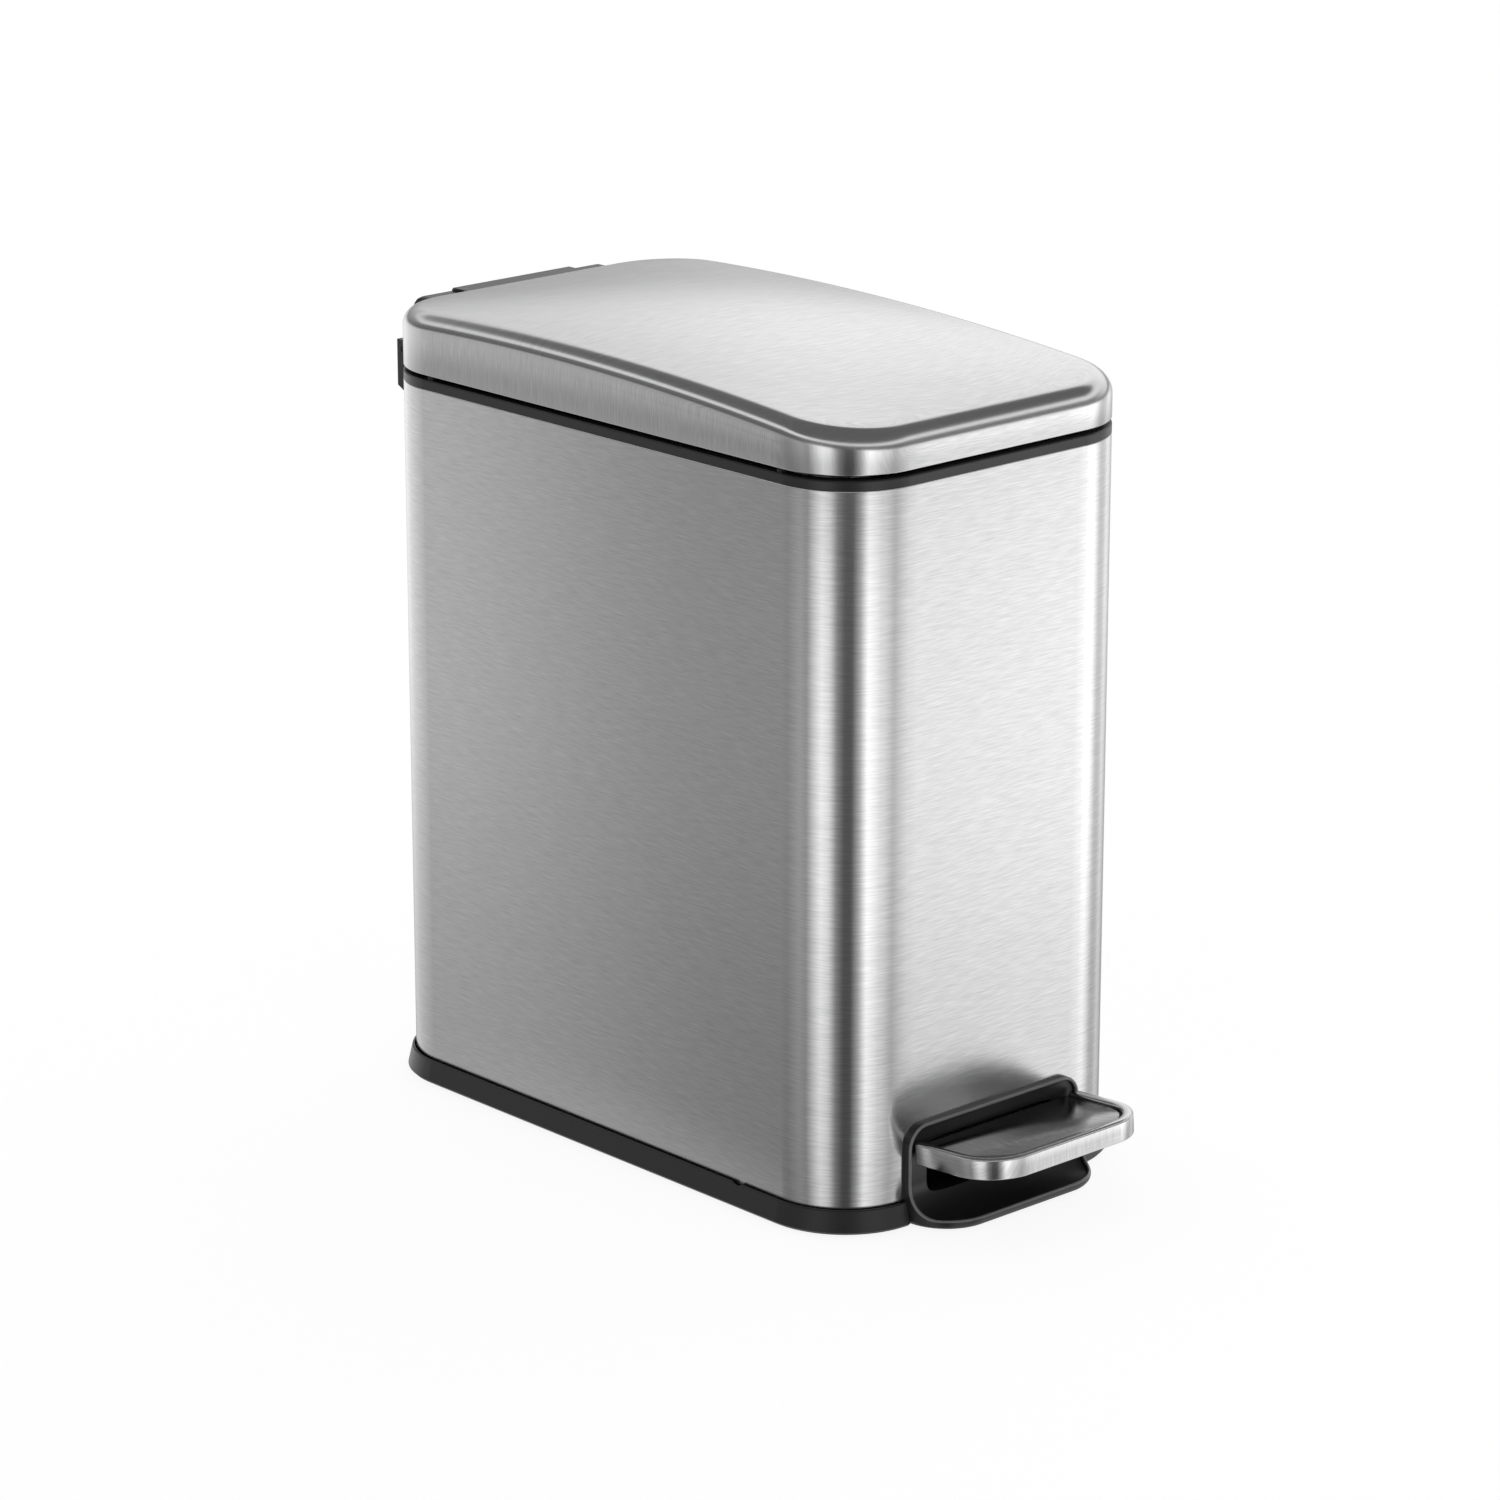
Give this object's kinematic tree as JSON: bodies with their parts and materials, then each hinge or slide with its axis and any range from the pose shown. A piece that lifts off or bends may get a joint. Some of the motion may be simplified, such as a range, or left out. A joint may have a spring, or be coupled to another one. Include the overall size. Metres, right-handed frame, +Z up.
{
  "type": "pedal trash can",
  "caption": "Slim rectangular pedal trash can: brushed steel body and arched lid, black base and rim, front foot pedal, push rod, soft-close damper and lift-out bucket.",
  "frame": {"origin": "middle of the whole footprint, on the ground", "axes": "+Z up, -Y the front where the pedal is, +X across the width"},
  "size_m": [0.146, 0.2915, 0.2858],
  "materials": {
    "brushed_steel": "brushed, horizontal on the body, across the lid, front to back on the pedal",
    "sheet_steel": "plain rolled sheet",
    "plated_steel": "zinc plated",
    "black_plastic": "fine satin",
    "damper_body": "satin",
    "bucket_plastic": "satin moulded",
    "rubber": "matt"
  },
  "bodies": {
    "body": {"outer_shell": "brushed_steel", "top_rim": "black_plastic", "mechanism_deck": "bucket_plastic", "deck_screws": "plated_steel", "lid_bumpers": "rubber", "base_tray": "black_plastic", "rubber_feet": "rubber", "pedal_surround": "black_plastic", "surround_screws": "plated_steel", "lever_axle": "plated_steel", "axle_clips": "plated_steel", "damper_cylinder": "damper_body", "hinge_bracket": "black_plastic", "bracket_screws": "plated_steel", "hinge_pin": "plated_steel"},
    "lid": {"lid_shell": "brushed_steel", "lid_liner": "black_plastic", "hinge_cover": "black_plastic", "cover_screws": "plated_steel"},
    "pedal": {"pedal_lever": "sheet_steel", "pedal_core": "black_plastic", "pedal_frame": "brushed_steel", "pedal_tread": "brushed_steel", "pedal_screws": "plated_steel"},
    "rod": {"push_rod": "plated_steel", "rod_clips": "plated_steel", "damper_piston": "plated_steel", "damper_yoke": "black_plastic"},
    "bucket": {"inner_bucket": "bucket_plastic"},
    "handle": {"bail_handle": "plated_steel", "bail_grip": "black_plastic"}
  },
  "joints": [
    {"name": "lid_hinge", "type": "hinge", "parent": "body", "child": "lid", "pos_m": [0, 0.1423, 0.2607], "axis": [-1, 0, 0], "range_deg": [0, 80]},
    {"name": "pedal_press", "type": "hinge", "parent": "body", "child": "pedal", "pos_m": [0, -0.0558, 0.0115], "axis": [1, 0, 0], "range_deg": [0, 8.02]},
    {"name": "rod_slide", "type": "slide", "parent": "body", "child": "rod", "axis": [0, 0, 1], "range_m": [0, 0.0255]},
    {"name": "bucket_lift", "type": "slide", "parent": "body", "child": "bucket", "axis": [0, 0, 1], "range_m": [0, 0.0035]},
    {"name": "handle_swing", "type": "hinge", "parent": "bucket", "child": "handle", "pos_m": [0, 0.00721, 0.2564], "axis": [-1, 0, 0], "range_deg": [0, 2]}
  ],
  "couplings": [
    {"joint": "pedal_press", "follows": "lid_hinge", "ratio": 0.10016},
    {"joint": "rod_slide", "follows": "lid_hinge", "m_per_rad": 0.01824}
  ]
}
